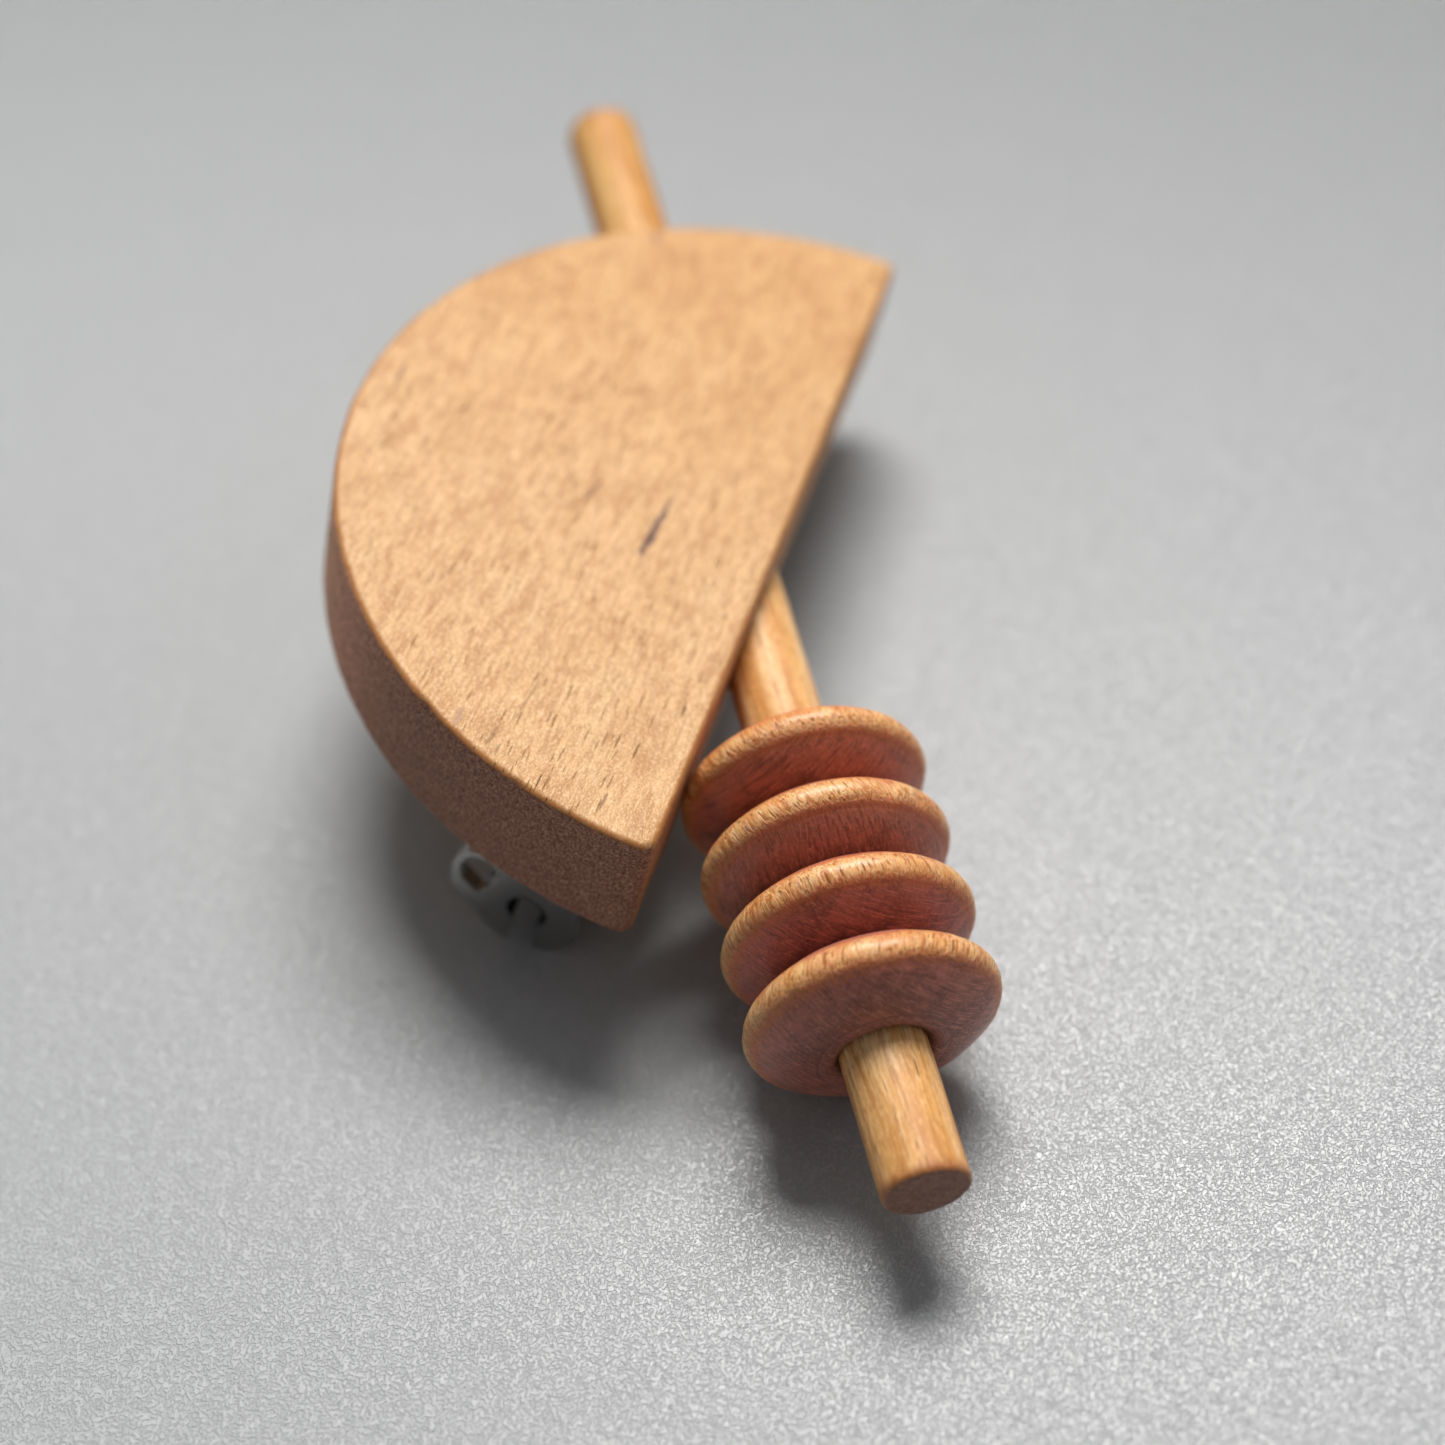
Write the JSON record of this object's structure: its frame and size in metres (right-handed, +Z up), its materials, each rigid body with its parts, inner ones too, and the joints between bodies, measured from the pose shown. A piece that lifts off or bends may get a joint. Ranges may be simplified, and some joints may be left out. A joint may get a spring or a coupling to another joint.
{
  "type": "brooch",
  "caption": "Wooden brooch: thick half disc crossed by a round stick that carries turned lens-shaped beads, with a steel bar pin and rotating safety catch behind.",
  "frame": {"origin": "centre of the bounding box, on the level surface the brooch lies on", "axes": "+Z up from that surface; +X roughly along the half disc's straight edge, from the bead side to the bare end of the stick; +Y towards the arc. The face leans about 17 degrees because the brooch rests on its last bead, the catch and the hinge"},
  "size_m": [0.0626, 0.0396, 0.0181],
  "materials": {
    "face_wood": "oiled, fine dark pores, end grain on the rim",
    "stick_wood": "oiled long grain, darker cut ends",
    "bead_wood": "satin lacquer, reddish brown flanks, honey rims",
    "finding_steel": "bright nickel-plated steel sheet",
    "pin_steel": "bright drawn wire"
  },
  "bodies": {
    "brooch": {"half_disc": "face_wood", "stick": "stick_wood", "bead_4": "bead_wood", "back_bar": "finding_steel", "catch_housing": "finding_steel", "hinge_rivet": "finding_steel"},
    "loose_bead_a": {"bead_1": "bead_wood"},
    "loose_bead_b": {"bead_2": "bead_wood"},
    "loose_bead_c": {"bead_3": "bead_wood"},
    "lock": {"catch_lock": "finding_steel"},
    "pin": {"pin_stem": "pin_steel"}
  },
  "joints": [
    {"name": "pin_hinge", "type": "hinge", "parent": "brooch", "child": "pin", "pos_m": [0.01798, 0.00483, 0.00219], "axis": [0, -0.9558, -0.2939], "range_deg": [0, 75]},
    {"name": "lock_turn", "type": "hinge", "parent": "brooch", "child": "lock", "pos_m": [-0.01663, 0.00468, 0.00266], "axis": [-0.9991, -0.0122, 0.0398], "range_deg": [0, 95]},
    {"name": "bead_1_spin", "type": "hinge", "parent": "brooch", "child": "loose_bead_a", "pos_m": [-0.01203, -0.0078, 0.00726], "axis": [0.8653, 0.4885, 0.1125], "continuous": true},
    {"name": "bead_2_spin", "type": "hinge", "parent": "brooch", "child": "loose_bead_b", "pos_m": [-0.0156, -0.00981, 0.0068], "axis": [0.8653, 0.4885, 0.1125], "continuous": true},
    {"name": "bead_3_spin", "type": "hinge", "parent": "brooch", "child": "loose_bead_c", "pos_m": [-0.01917, -0.01183, 0.00633], "axis": [0.8653, 0.4885, 0.1125], "continuous": true}
  ]
}
